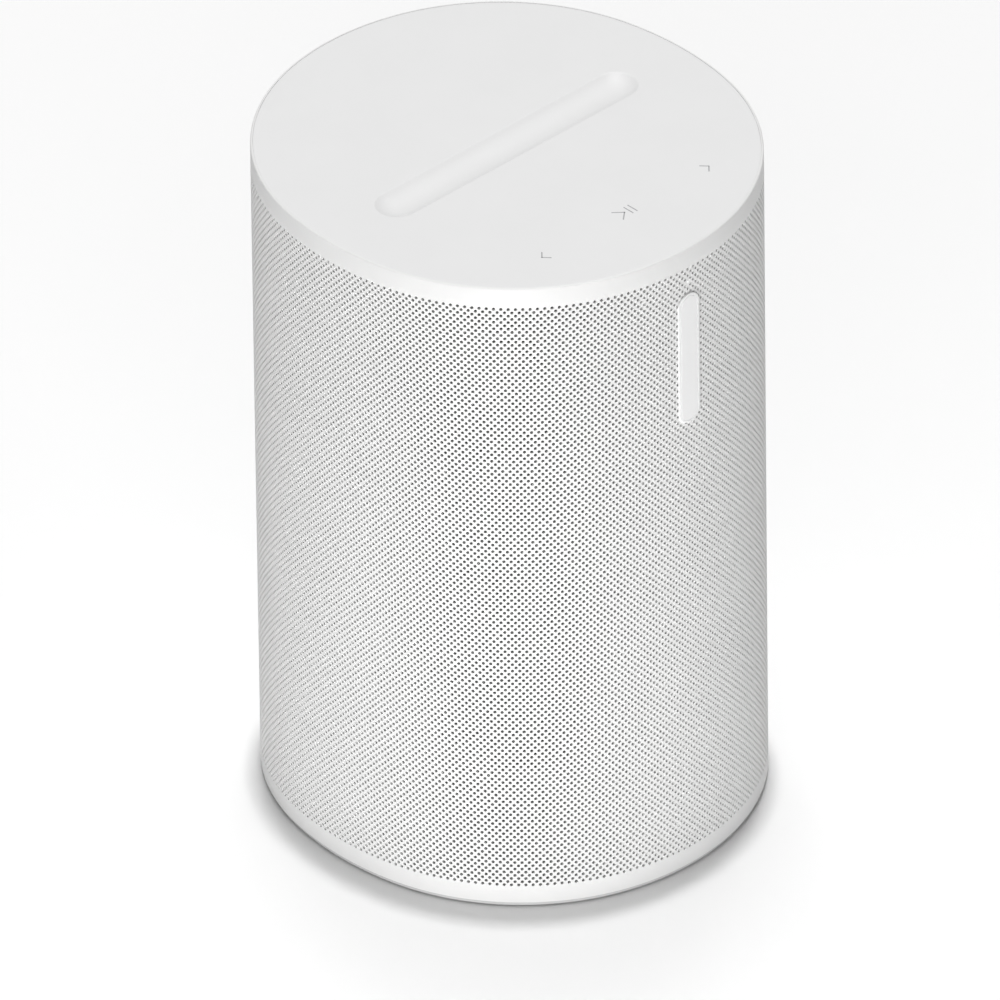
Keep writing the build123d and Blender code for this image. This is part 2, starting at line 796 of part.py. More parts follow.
def rear_panel():
    """The recessed rear panel, with the openings for its controls and posts for its board."""
    recess, behind = panel_recess, sleeve_wall + 0.06
    flange_outline = pill(0, panel_z, panel_width + 3.6, panel_height + 3.6)
    face_outline = pill(0, panel_z, panel_width - 0.3, panel_height - 0.3)
    rear = (half_depth - 12, half_depth + 1)
    low, high = panel_z - panel_height, panel_z + panel_height
    panel = oval_ring(behind, panel_back_inset, low, high) & along_y(flange_outline, *rear)
    panel += oval_ring(recess, panel_back_inset, low, high) & along_y(face_outline, *rear)
    for x, z in io_posts:
        panel += rod_y(x, z, 2.2, io_board_rear, half_depth - 2.8)
    panel -= rod_y(0, button_z, button_radius + 0.2, *rear)
    slot_height = slider_height + slider_travel + 0.8
    panel -= along_y(Pos(0, slider_z) * RectangleRounded(slider_width + 0.6, slot_height, 0.8), *rear)
    panel -= along_y(pill(0, usb_z, usb_width + 0.3, usb_height + 0.3), *rear)
    return drill(panel, io_board_screws, board_screw_size)


def io_board():
    """The small board behind the rear panel."""
    board = block((-12.5, 12.5), (io_board_front, io_board_rear), (89, 147))
    return drill(board, io_board_screws, board_screw_size)


def pairing_button():
    """The round button, with a flange that keeps it behind the panel."""
    back, flange_front, face = 58.4, 59.5, half_depth - 0.75
    button = rod_y(0, button_z, button_radius, back, face)
    button = fillet(button.faces().sort_by(Axis.Y)[-1].edges(), 0.35)
    return button + rod_y(0, button_z, button_radius + 1.2, back, flange_front)


def pairing_switch():
    """The tact switch's housing, and the plunger that the button pushes into it."""
    front = io_board_rear + 3.5
    housing = block((-3, 3), (io_board_rear, front), (button_z - 3, button_z + 3))
    plunger_radius = 1.75
    housing -= rod_y(0, button_z, plunger_radius + fit_gap, front - 1.5, front)
    plunger = rod_y(0, button_z, plunger_radius, front - 0.7, 58.4)
    return housing, plunger


def mic_slider():
    """The slider's cap in its slot, with a wide shoe behind the panel."""
    z = slider_z + slider_travel / 2
    outline = Pos(0, z) * RectangleRounded(slider_width, slider_height, 0.6)
    face = half_depth - 0.7
    slider = along_y(outline, 59.0, face)
    groove = 0.35
    for step in (-1.2, 0, 1.2):
        slider -= block((-3, 3), (face - groove, face + 1), (z + step - groove / 2, z + step + groove / 2))
    return slider + block((-3.5, 3.5), (58.0, 59.2), (z - 6, z + 6))


def mic_switch():
    """The slide switch's housing, and the lever that the slider carries along."""
    front = io_board_rear + 3.4
    z, lever_half, room = slider_z + slider_travel / 2, 1.0, 0.4
    housing = block((-2.4, 2.4), (io_board_rear, front), (slider_z - 4.6, slider_z + 4.6))
    reach = lever_half + slider_travel / 2 + room
    housing -= block((-1.1, 1.1), (front - 1.6, front), (slider_z - reach, slider_z + reach))
    lever = block((-0.8, 0.8), (front - 1.1, 58.0), (z - lever_half, z + lever_half))
    return housing, lever


def usb_socket():
    """The USB socket's metal shell and the tongue inside it."""
    front, wall = 61.9, 0.3
    shell = along_y(pill(0, usb_z, usb_width, usb_height), io_board_rear, front)
    floor = io_board_rear + 2
    shell -= along_y(pill(0, usb_z, usb_width - 2 * wall, usb_height - 2 * wall), floor, front)
    tongue = block((-3.35, 3.35), (floor, front - 0.7), (usb_z - 0.35, usb_z + 0.35))
    return Compound(children=[shell.solid(), tongue.solid()])


# ---- Wires and fasteners ----
wire_radius = 0.8
woofer_wire_z = 50.6


def woofer_wires():
    """The woofer's two leads, which pass through the enclosure's rear wall."""
    return [rod_y(x, woofer_wire_z, wire_radius, -16, main_board_front) for x in (-3, 3)]


def tweeter_wires():
    """A lead from each tweeter, back over the enclosure and down to the main board."""
    leads = []
    for x in (-20, 20):
        lead = rod_y(x, 140, wire_radius, -21.5, 34.6)
        lead += rod_z(x, 34.6, wire_radius, 118, 140)
        leads.append(lead + Pos(x, 34.6, 140) * Sphere(wire_radius))
    return leads


def inlet_wires():
    """The two mains leads from the inlet's pins to the power board."""
    leads = []
    for side in (-1, 1):
        x = side * pin_spacing / 2
        lead = rod_y(x, inlet_z, wire_radius, 38, inlet_back)
        lead += rod_z(x, 38, wire_radius, power_board_z + board_thickness, inlet_z)
        leads.append(lead + Pos(x, 38, inlet_z) * Sphere(wire_radius))
    return leads


def wire_harness():
    """All the leads and flat cables, with the plug on the power board."""
    solids = woofer_wires() + tweeter_wires() + inlet_wires()
    solids += [rod_z(x, 39.8, wire_radius, 20, 46) for x in (24.5, 26.5, 28.5)]
    solids.append(block((22.5, 30.5), (37.8, 42), (power_board_z + board_thickness, 20)))
    solids.append(block((-6, 6), (ribbon_y, ribbon_y + 0.3), (120, touch_board_bottom)))
    solids.append(block((-6, 6), (main_board_rear + 3, io_board_front), (112, 112.3)))
    return Compound(children=[solid.solid() for solid in solids])


def screws(size, places):
    """Identical screws at the given places."""
    return Compound(children=[(place * screw(size)).solid() for place in places])


# ---- All the pieces ----
icons = touch_icons()
top_plate, magnet, yoke = woofer_motor()
pairing_housing, plunger = pairing_switch()
slide_housing, lever = mic_switch()
shell = enclosure_shell()
for wire in woofer_wires():
    shell -= wire
tweeter_screws = tweeter_screw_places(-1) + tweeter_screw_places(1)
frame_screws = tweeter_frame_screws + top_frame_screws
rear_board_screws = main_board_screws + io_board_screws

pieces = {
    "grille_sleeve": grille_sleeve(),
    "top_cover": top_cover(icons),
    "touch_icons": icons,
    "front_badge": front_badge(),
    "base_plate": base_plate(),
    "rubber_foot": rubber_foot(),
    "lower_housing": lower_housing(),
    "power_board": power_board(),
    "power_transformer": power_transformer(),
    "power_capacitors": power_capacitors(),
    "power_inlet": power_inlet(),
    "inlet_pins": inlet_pins(),
    "enclosure_baffle": enclosure_baffle(),
    "enclosure_gasket": enclosure_gasket(),
    "enclosure_shell": shell,
    "acoustic_wadding": acoustic_wadding(),
    "woofer_basket": woofer_basket(),
    "woofer_gasket": woofer_gasket(),
    "woofer_top_plate": top_plate,
    "woofer_magnet": magnet,
    "woofer_yoke": yoke,
    "woofer_cone": woofer_cone(),
    "woofer_dust_cap": woofer_dust_cap(),
    "woofer_voice_coil": woofer_voice_coil(),
    "woofer_surround": woofer_surround(),
    "woofer_spider": woofer_spider(),
    "tweeter_frame": tweeter_frame(),
    "top_frame": top_frame(),
    "touch_board": touch_board(),
    "microphones": microphones(),
    "mic_boots": mic_boots(),
    "status_led": status_led(),
    "light_pipe": light_pipe(),
    "main_board": main_board(),
    "main_board_chips": main_board_chips(),
    "heat_sink": heat_sink(),
    "antennas": antennas(),
    "rear_panel": rear_panel(),
    "io_board": io_board(),
    "pairing_button": pairing_button(),
    "pairing_switch": pairing_housing,
    "pairing_plunger": plunger,
    "mic_slider": mic_slider(),
    "mic_switch": slide_housing,
    "mic_switch_lever": lever,
    "usb_socket": usb_socket(),
    "wire_harness": wire_harness(),
    "case_screws": screws(case_screw_size, base_screws + baffle_screws + frame_screws),
    "driver_screws": screws(driver_screw_size, woofer_screws + tweeter_screws),
    "board_screws": screws(
        board_screw_size, power_board_screws + touch_board_screws + rear_board_screws
    ),
}
for name, side in (("left", -1), ("right", 1)):
    pieces[f"{name}_tweeter_motor"] = tweeter_motor(side)
    pieces[f"{name}_tweeter_waveguide"] = tweeter_waveguide(side)
    pieces[f"{name}_tweeter_dome"] = tweeter_dome(side)
    pieces[f"{name}_tweeter_voice_coil"] = tweeter_voice_coil(side)
    pieces[f"{name}_tweeter_surround"] = tweeter_surround(side)

os.makedirs("parts", exist_ok=True)
for name, piece in pieces.items():
    export_step(piece, f"parts/{name}.step")
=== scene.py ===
import json
import math

import bmesh
import bpy
import numpy as np
from mathutils import Matrix, Vector
from mathutils.geometry import delaunay_2d_cdt

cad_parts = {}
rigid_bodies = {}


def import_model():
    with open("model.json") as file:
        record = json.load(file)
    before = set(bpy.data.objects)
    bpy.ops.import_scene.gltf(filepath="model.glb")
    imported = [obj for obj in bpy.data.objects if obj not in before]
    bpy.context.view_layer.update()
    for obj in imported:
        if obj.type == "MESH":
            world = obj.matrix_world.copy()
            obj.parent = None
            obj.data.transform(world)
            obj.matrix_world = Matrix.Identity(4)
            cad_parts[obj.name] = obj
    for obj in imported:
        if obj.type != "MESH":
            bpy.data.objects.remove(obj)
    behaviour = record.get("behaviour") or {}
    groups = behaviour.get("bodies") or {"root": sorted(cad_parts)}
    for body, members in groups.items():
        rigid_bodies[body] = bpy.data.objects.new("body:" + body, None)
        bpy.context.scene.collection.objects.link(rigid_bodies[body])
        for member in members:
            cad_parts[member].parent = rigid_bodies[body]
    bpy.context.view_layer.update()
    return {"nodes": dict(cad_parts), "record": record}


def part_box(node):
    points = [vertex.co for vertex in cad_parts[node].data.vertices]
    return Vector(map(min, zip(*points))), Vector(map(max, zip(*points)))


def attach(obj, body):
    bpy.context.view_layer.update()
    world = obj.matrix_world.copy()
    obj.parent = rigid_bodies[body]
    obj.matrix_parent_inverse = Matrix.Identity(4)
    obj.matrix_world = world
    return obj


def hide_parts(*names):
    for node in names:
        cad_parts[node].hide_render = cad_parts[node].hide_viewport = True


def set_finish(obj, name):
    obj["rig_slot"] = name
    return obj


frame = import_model()

MM = 0.001


def node_box(name):
    """A CAD node's lowest and highest corners, as two arrays."""
    low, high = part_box(name)
    return np.array(low, float), np.array(high, float)


# ---- The body's outline, which the whole outside follows ----
sleeve_low, sleeve_high = node_box("grille_sleeve")
HALF_WIDTH, HALF_DEPTH = sleeve_high[0], sleeve_high[1]
SLEEVE_BOTTOM, SLEEVE_TOP = sleeve_low[2], sleeve_high[2]
SIDE_RADIUS = 82 * MM
SIDE_ARC_END = math.radians(12)
FRONT_ARC_START = math.radians(72)

# Walls and edges of the sleeve
BAND_WALL = 1.5 * MM
GRILLE_WALL = 0.6 * MM
LIP_WALL = 0.6 * MM
LIP_DEPTH = 2.0 * MM
LIP_RADIUS = 0.45 * MM
BOTTOM_RADIUS = 0.3 * MM

# The grille: staggered rows of small round holes
COLUMNS = 220
ROWS = 180
ROW_PITCH = 0.953 * MM
FIRST_ROW_DROP = 6.0 * MM
HOLE_RADIUS = 0.43 * MM
HOLE_SIDES = 8
SECTORS = 10
LIGHT_ROW = 4
LIGHT_HOLE_RADIUS = 0.42 * MM

# The openings at the rear, which the grille stops short of
PLAIN_MARGIN = 2.2 * MM
REAR_PANEL_OPENING = (24 * MM, 62 * MM)
INLET_OPENING = (18 * MM, 11 * MM)
OPENING_END_STEPS = 28
OPENING_STEP = 0.9 * MM
OPENING_CLEARANCE = 0.3 * MM
SLIVER_AREA = 0.001 * MM**2

# The top cover and its trough
COVER_GAP = 0.02 * MM
COVER_DROP = 0.04 * MM
COVER_EDGE_RADIUS = 0.15 * MM
COVER_THICKNESS = 2.0 * MM
SKIRT_INSET = 1.58 * MM
SKIRT_WALL = 1.4 * MM
SKIRT_DEPTH = 4.0 * MM
TROUGH_HALF_LENGTH = 36.75 * MM
TROUGH_BOWL_RADIUS = 10.6 * MM
TROUGH_DEPTH = 1.6 * MM
TROUGH_LIP_RADIUS = 1.2 * MM
RIB_REACH = 7.6 * MM
RIB_DROP = 1.2 * MM
FLAT_REACHES = (8 * MM, 11 * MM, 15 * MM, 20 * MM)
FLAT_RIM = 1 * MM

# The badge: a plain raised pill with a fine groove inside its rim
BADGE_EDGE_RADIUS = 0.22 * MM
BADGE_RIM = 0.65 * MM
BADGE_GROOVE = 0.1 * MM

# How bright each outside part is, as linear red, green and blue
COLOURS = {
    "sleeve": (0.83, 0.83, 0.825),
    "cover": (0.81, 0.81, 0.81),
    "symbol": (0.42, 0.42, 0.43),
    "base": (0.60, 0.60, 0.60),
}


def outline_arcs():
    """The outline's arcs from the front middle round by +X: centre, radius, start and end angle."""
    c1, s1 = math.cos(SIDE_ARC_END), math.sin(SIDE_ARC_END)
    c2, s2 = math.cos(FRONT_ARC_START), math.sin(FRONT_ARC_START)
    side_x = HALF_WIDTH - SIDE_RADIUS
    across = side_x + SIDE_RADIUS * c1
    along = HALF_DEPTH - SIDE_RADIUS * s1
    det = (c1 - c2) * (1 - s2) - c2 * (s2 - s1)
    corner_radius = (across * (1 - s2) - along * c2) / det
    front_radius = (along * (c1 - c2) - across * (s2 - s1)) / det
    corner_x = side_x + (SIDE_RADIUS - corner_radius) * c1
    corner_y = (SIDE_RADIUS - corner_radius) * s1
    front_y = HALF_DEPTH - front_radius
    quarter, side, front = math.pi / 2, SIDE_ARC_END, FRONT_ARC_START
    arcs = []
    for turn in (0, math.pi):
        s = 1 if turn == 0 else -1
        arcs.append((0, -s * front_y, front_radius, turn - quarter, turn - front))
        arcs.append((s * corner_x, -s * corner_y, corner_radius, turn - front, turn - side))
        arcs.append((s * side_x, 0, SIDE_RADIUS, turn - side, turn + side))
        arcs.append((s * corner_x, s * corner_y, corner_radius, turn + side, turn + front))
        arcs.append((0, s * front_y, front_radius, turn + front, turn + quarter))
    return np.array(arcs)


ARCS = outline_arcs()
ARC_ENDS = np.cumsum(ARCS[:, 2] * (ARCS[:, 4] - ARCS[:, 3]))
PERIMETER = ARC_ENDS[-1]
FRONT_RADIUS = ARCS[0, 2]
REAR_MIDDLE = PERIMETER / 2
COLUMN_PITCH = PERIMETER / COLUMNS
HALF_PITCH = COLUMN_PITCH / 2
FIRST_LINE_Z = SLEEVE_TOP - FIRST_ROW_DROP + ROW_PITCH / 2
LAST_LINE_Z = FIRST_LINE_Z - ROWS * ROW_PITCH


def wrap(u, z, inset=0.0):
    """Points a distance u round the outline from the front middle, at a height z and an inset."""
    u, z, inset = np.broadcast_arrays(*(np.asarray(value, float) for value in (u, z, inset)))
    u = np.mod(u, PERIMETER)
    index = np.minimum(np.searchsorted(ARC_ENDS, u, side="right"), len(ARCS) - 1)
    x, y, radius, start = (ARCS[index, column] for column in range(4))
    begin = np.concatenate([[0.0], ARC_ENDS[:-1]])[index]
    angle = start + (u - begin) / radius
    return np.stack([x + (radius - inset) * np.cos(angle), y + (radius - inset) * np.sin(angle), z], -1)


# ---- Making pieces ----


def add_piece(name, points, faces, slot, nodes, body="cabinet", sharp=60, weld=False):
    """A new piece that rides on a body, takes its finish from a slot and stands for CAD nodes."""
    mesh = bpy.data.meshes.new(name)
    mesh.from_pydata(points, [], faces)
    mesh.update()
    piece = bpy.data.objects.new(name, mesh)
    bpy.context.scene.collection.objects.link(piece)
    if weld:
        weld_mesh(mesh)
    mesh.shade_smooth()
    mesh.set_sharp_from_angle(angle=math.radians(sharp))
    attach(piece, body)
    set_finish(piece, slot)
    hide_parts(*nodes)
    return piece


def weld_mesh(mesh):
    """Joins points that coincide, as where rings close on a line."""
    shape = bmesh.new()
    shape.from_mesh(mesh)
    bmesh.ops.remove_doubles(shape, verts=shape.verts, dist=1e-7)
    bmesh.ops.dissolve_degenerate(shape, edges=shape.edges, dist=1e-8)
    shape.to_mesh(mesh)
    shape.free()


def open_edges(faces):
    """The directed edges of triangles that no other triangle runs back along."""
    edges = np.concatenate([faces[:, [0, 1]], faces[:, [1, 2]], faces[:, [2, 0]]])
    size = faces.max() + 1
    forward = edges[:, 0] * size + edges[:, 1]
    backward = edges[:, 1] * size + edges[:, 0]
    return edges[~np.isin(forward, backward)]


def thick_sheet(flat, faces, wall):
    """A closed sheet in the body's outside, from flat (u, z) points and their triangles."""
    outer = wrap(flat[:, 0], flat[:, 1])
    inner = wrap(flat[:, 0], flat[:, 1], wall)
    start, end = open_edges(faces).T
    count = len(flat)
    near = np.stack([end, start, start + count], 1)
    far = np.stack([end, start + count, end + count], 1)
    back = faces[:, ::-1] + count
    return np.concatenate([outer, inner]), np.concatenate([faces, back, near, far])


def swept_rings(rings, closed=True):
    """Points and faces of a skin over rings of points, each ring running the same way round."""
    rings = np.array(rings)
    count, around = rings.shape[:2]
    faces = []
    for ring in range(count if closed else count - 1):
        first, second = ring * around, (ring + 1) % count * around
        for step in range(around):
            after = (step + 1) % around
            faces.append((first + step, second + step, second + after, first + after))
    return rings.reshape(-1, 3), faces


def arc_points(centre, radius, start, end, steps):
    """Points on an arc between two angles in degrees, both ends included."""
    angles = np.radians(np.linspace(start, end, steps + 1))
    return [(centre[0] + radius * math.cos(a), centre[1] + radius * math.sin(a)) for a in angles]


# ---- The grille sleeve ----
RING_U = np.arange(2 * COLUMNS) * HALF_PITCH


def band(profile):
    """A closed ring round the body, from a profile of (inset, height) points."""
    rings = [wrap(RING_U, z, inset) for inset, z in profile]
    return swept_rings(rings)


def top_band():
    """The smooth band above the grille, rounded over to the lip around the cover."""
    turn = arc_points((LIP_RADIUS, SLEEVE_TOP - LIP_RADIUS), LIP_RADIUS, 180, 90, 6)
    ledge = SLEEVE_TOP - LIP_DEPTH
    profile = [(0, FIRST_LINE_Z), *turn, (LIP_WALL, SLEEVE_TOP), (LIP_WALL, ledge)]
    profile += [(BAND_WALL, ledge), (BAND_WALL, FIRST_LINE_Z)]
    points, faces = band(profile[::-1])
    return add_piece("sleeve_top_band", points, faces, "sleeve_plastic", ["grille_sleeve"], sharp=35)


def bottom_band():
    """The smooth band below the grille."""
    turn = arc_points((BOTTOM_RADIUS, SLEEVE_BOTTOM + BOTTOM_RADIUS), BOTTOM_RADIUS, 180, 270, 4)
    profile = [(0, LAST_LINE_Z), *turn, (BAND_WALL, SLEEVE_BOTTOM), (BAND_WALL, LAST_LINE_Z)]
    points, faces = band(profile)
    return add_piece("sleeve_bottom_band", points, faces, "sleeve_plastic", ["grille_sleeve"], sharp=35)


def pill_distance(du, dz, size):
    """How far points lie outside a pill of (width, height) about the origin."""
    width, height = size
    half_u, half_z = max(width - height, 0) / 2, max(height - width, 0) / 2
    past_u = np.maximum(np.abs(du) - half_u, 0)
    past_z = np.maximum(np.abs(dz) - half_z, 0)
    return np.hypot(past_u, past_z) - min(width, height) / 2


def rear_u(x):
    """Distance round the outline of a point on the rear arc, from its X."""
    return REAR_MIDDLE - FRONT_RADIUS * np.arcsin(np.asarray(x) / FRONT_RADIUS)


panel_low, panel_high = node_box("rear_panel")
inlet_low, inlet_high = node_box("power_inlet")
WINDOWS = [
    ("panel", (panel_low[2] + panel_high[2]) / 2, REAR_PANEL_OPENING),
    ("inlet", (inlet_low[2] + inlet_high[2]) / 2, INLET_OPENING),
]


def hole_centres(column, row):
    """Where holes are, as u and z."""
    shift = np.where(row % 2 == 0, 0.0, 0.5)
    return (column + shift) * COLUMN_PITCH, FIRST_LINE_Z - (row + 0.5) * ROW_PITCH


def plain_cell(column, row, middle_z, size):
    """Whether a cell is so near an opening that it has no hole."""
    u, z = hole_centres(column, row)
    return pill_distance(u - REAR_MIDDLE, z - middle_z, size) < PLAIN_MARGIN


def cell_corners(column, row):
    """A cell's six (line, half column) lattice corners, from its lower right one anticlockwise."""
    left = 2 * column - (row + 1) % 2
    return [
        (row + 1, left + 2), (row, left + 2), (row, left + 1),
        (row, left), (row + 1, left), (row + 1, left + 1),
    ]


# A cell's triangles, by its six corners 0 to 5 and then its hole's points 6 to 13
CELL_TRIANGLES = np.array([
    (0, 1, 6), (0, 6, 13), (1, 2, 7), (1, 7, 6), (2, 8, 7), (2, 3, 9), (2, 9, 8),
    (3, 4, 10), (3, 10, 9), (4, 5, 11), (4, 11, 10), (5, 12, 11), (5, 0, 13), (5, 13, 12),
])


def grille_sector(index):
    """One upright strip of the grille, with every hole cut through it."""
    per_sector = COLUMNS // SECTORS
    first = index * per_sector
    row, column = np.meshgrid(np.arange(ROWS), np.arange(first, first + per_sector), indexing="ij")
    row, column = row.ravel(), column.ravel()
    keep = np.ones(len(row), bool)
    for _, middle_z, size in WINDOWS:
        keep &= ~plain_cell(column, row, middle_z, size)
    row, column = row[keep], column[keep]
    left_edge, lines_wide = 2 * first - 1, 2 * per_sector + 2
    corners = np.stack([
        line * lines_wide + half - left_edge for line, half in cell_corners(column, row)
    ], 1)
    line, half = np.divmod(np.arange((ROWS + 1) * lines_wide), lines_wide)
    lattice = np.stack([(half + left_edge) * HALF_PITCH, FIRST_LINE_Z - line * ROW_PITCH], 1)
    u, z = hole_centres(column, row)
    radius = np.where((row == LIGHT_ROW) & (column == 0), LIGHT_HOLE_RADIUS, HOLE_RADIUS)
    turn = (np.arange(HOLE_SIDES) + 0.5) * 2 * math.pi / HOLE_SIDES
    rim_u = u[:, None] + radius[:, None] * np.cos(turn)
    rim_z = z[:, None] + radius[:, None] * np.sin(turn)
    rims = np.stack([rim_u.ravel(), rim_z.ravel()], 1)
    rim_index = len(lattice) + np.arange(len(rims)).reshape(-1, HOLE_SIDES)
    cells = np.concatenate([corners, rim_index], 1)
    faces = cells[:, CELL_TRIANGLES].reshape(-1, 3)
    used, faces = np.unique(faces, return_inverse=True)
    flat = np.concatenate([lattice, rims])[used]
    points, faces = thick_sheet(flat, faces.reshape(-1, 3), GRILLE_WALL)
    return add_piece(f"grille_sector_{index + 1:02d}", points, faces, "sleeve_plastic", ["grille_sleeve"])


def pill_outline(size, steps):
    """Points round a pill of (width, height), evenly spaced on each end."""
    width, height = size
    radius = min(width, height) / 2
    half_u, half_z = max(width - height, 0) / 2, max(height - width, 0) / 2
    start = 0 if height > width else -90
    ends = arc_points((half_u, half_z), radius, start, start + 180, steps)
    ends += arc_points((-half_u, -half_z), radius, start + 180, start + 360, steps)
    return ends


def split_run(start, end, pitch):
    """Points along a straight run from its start, without its end."""
    start, end = np.array(start), np.array(end)
    count = max(1, round(math.dist(start, end) / pitch))
    return [tuple(start + (end - start) * k / count) for k in range(count)]


def plain_cells(middle_z, size):
    """The cells around an opening that have no hole, as (column, row)."""
    middle_column, middle_row = COLUMNS // 2, round((FIRST_LINE_Z - middle_z) / ROW_PITCH)
    wide = math.ceil(size[0] / COLUMN_PITCH) + 3
    tall = math.ceil(size[1] / ROW_PITCH) + 5
    cells = set()
    for column in range(middle_column - wide, middle_column + wide):
        for row in range(middle_row - tall, min(middle_row + tall, ROWS)):
            if plain_cell(column, np.array(row), middle_z, size):
                cells.add((column, row))
    return cells


def staggered_rim(cells):
    """The cells' lattice corners, and the edges that only one of the cells has."""
    lattice, rim_edges = set(), set()
    for cell in cells:
        corners = cell_corners(*cell)
        lattice.update(corners)
        for a, b in zip(corners, corners[1:] + corners[:1]):
            rim_edges ^= {frozenset((a, b))}
    return lattice, rim_edges


def window_frame(name, middle_z, size):
    """The plain stretch of sleeve around an opening, out to the grille's staggered cells."""
    cells = plain_cells(middle_z, size)
    lattice, rim_edges = staggered_rim(cells)
    on_rim = {corner for edge in rim_edges for corner in edge}
    outline = pill_outline(size, OPENING_END_STEPS)
    loop = []
    for a, b in zip(outline, outline[1:] + outline[:1]):
        loop += split_run(a, b, OPENING_STEP)
    flat = [(float(rear_u(-x)), middle_z + dz) for x, dz in loop]
    edges = [(k, (k + 1) % len(loop)) for k in range(len(loop))]
    index = {}
    for corner in sorted(lattice):
        u, z = corner[1] * HALF_PITCH, FIRST_LINE_Z - corner[0] * ROW_PITCH
        clear = pill_distance(u - REAR_MIDDLE, z - middle_z, size) > OPENING_CLEARANCE
        if corner in on_rim or clear:
            index[corner] = len(flat)
            flat.append((u, z))
    edges += [tuple(index[corner] for corner in edge) for edge in sorted(rim_edges, key=sorted)]
    return fill_frame(name, middle_z, size, cells, flat, edges)


def fill_frame(name, middle_z, size, cells, flat, edges):
    """Triangles between the opening and the staggered rim, made into a closed sheet."""
    shift = np.array([REAR_MIDDLE, middle_z])
    plane = [Vector((np.array(point) - shift) / MM) for point in flat]
    points, _, faces, _, _, _ = delaunay_2d_cdt(plane, edges, [], 0, 1e-6)
    points = np.array([tuple(point) for point in points]) * MM + shift
    kept = []
    for face in faces:
        u, z = points[list(face)].mean(0)
        row = math.floor((FIRST_LINE_Z - z) / ROW_PITCH)
        column = math.floor((u / HALF_PITCH + (row + 1) % 2) / 2)
        outside = pill_distance(u - REAR_MIDDLE, z - middle_z, size) > 0
        if outside and (column, row) in cells:
            kept.append(face)
    kept = np.array(kept)
    a, b, c = (points[kept[:, k]] for k in range(3))
    area = (b - a)[:, 0] * (c - a)[:, 1] - (b - a)[:, 1] * (c - a)[:, 0]
    kept[area < 0] = kept[area < 0][:, ::-1]
    kept = kept[np.abs(area) > SLIVER_AREA]
    used, kept = np.unique(kept, return_inverse=True)
    points, faces = thick_sheet(points[used], kept.reshape(-1, 3), GRILLE_WALL)
    return add_piece(f"sleeve_{name}_surround", points, faces, "sleeve_plastic", ["grille_sleeve"])


# ---- The top cover ----


def cover_ring(kind, reach, z):
    """A ring of the cover: a distance from the trough's middle line, or an inset from the outline."""
    if kind == "edge":
        return wrap(RING_U, z, reach)
    rim = wrap(RING_U, z)
    middle = rim * (1, 0, 1)
    middle[:, 0] = np.clip(rim[:, 0], -TROUGH_HALF_LENGTH, TROUGH_HALF_LENGTH)
    away = rim - middle
    away /= np.linalg.norm(away, axis=1)[:, None]
    return middle + reach * away


def trough_profile(top):
    """The trough's (distance, height) points, from its middle line up over its soft lip."""
    bowl, lip = TROUGH_BOWL_RADIUS, TROUGH_LIP_RADIUS
    bowl_height = top - TROUGH_DEPTH + bowl
    lip_reach = math.sqrt((bowl + lip) ** 2 - (bowl - TROUGH_DEPTH + lip) ** 2)
    meet = math.degrees(math.asin(lip_reach / (bowl + lip)))
    curve = arc_points((0, bowl_height), bowl, -90, -90 + meet, 14)
    turn = arc_points((lip_reach, top - lip), lip, 90 + meet, 90, 8)
    return curve + turn[1:]


def top_cover():
    """The smooth touch cover with its trough, down to its skirt and underside."""
    top = SLEEVE_TOP - COVER_DROP
    under = SLEEVE_TOP - COVER_THICKNESS
    inset = LIP_WALL + COVER_GAP
    rings = [("slot", reach, z) for reach, z in trough_profile(top)]
    rings += [("slot", reach, top) for reach in FLAT_REACHES]
    edge_middle = (inset + COVER_EDGE_RADIUS, top - COVER_EDGE_RADIUS)
    edge = arc_points(edge_middle, COVER_EDGE_RADIUS, 90, 180, 4)
    rings.append(("edge", inset + FLAT_RIM, top))
    rings += [("edge", reach, z) for reach, z in edge]
    skirt_foot = under - SKIRT_DEPTH
    rings += [("edge", inset, under + COVER_GAP), ("edge", SKIRT_INSET, under + COVER_GAP)]
    rings += [("edge", SKIRT_INSET, skirt_foot), ("edge", SKIRT_INSET + SKIRT_WALL, skirt_foot)]
    rings.append(("edge", SKIRT_INSET + SKIRT_WALL, under))
    rings += [("slot", RIB_REACH, under), ("slot", RIB_REACH, under - RIB_DROP)]
    rings.append(("slot", 0, under - RIB_DROP))
    points, faces = swept_rings([cover_ring(*ring) for ring in rings], closed=False)
    return add_piece("top_touch_cover", points, faces, "cover_plastic", ["top_cover"], sharp=35, weld=True)


# ---- Touch symbols ----
SYMBOL_ROW_Y = -41.3 * MM
SYMBOL_STROKE = 0.32 * MM
BACK_X, PLAY_X, FORWARD_X = -27 * MM, -1.15 * MM, 27.7 * MM
SIDE_REACH, SIDE_HEIGHT = 1.5 * MM, 3.2 * MM
PLAY_REACH, PLAY_HEIGHT = 2.3 * MM, 4.0 * MM
PAUSE_X = (1.33 * MM, 2.67 * MM)
PAUSE_HALF_HEIGHT = 1.6 * MM


def stroke(start, end):
    """A flat straight stroke with round ends, as outline points in X and Y."""
    start, end = np.array(start), np.array(end)
    along = math.degrees(math.atan2(*(end - start)[::-1]))
    half = SYMBOL_STROKE / 2
    outline = arc_points(end, half, along - 90, along + 90, 8)
    return outline + arc_points(start, half, along + 90, along + 270, 8)


def chevron(x, reach, height):
    """An arrowhead's two strokes, open towards -X for a positive reach."""
    tip = (x + reach / 2, SYMBOL_ROW_Y)
    return [stroke((x - reach / 2, SYMBOL_ROW_Y + side * height / 2), tip) for side in (-1, 1)]


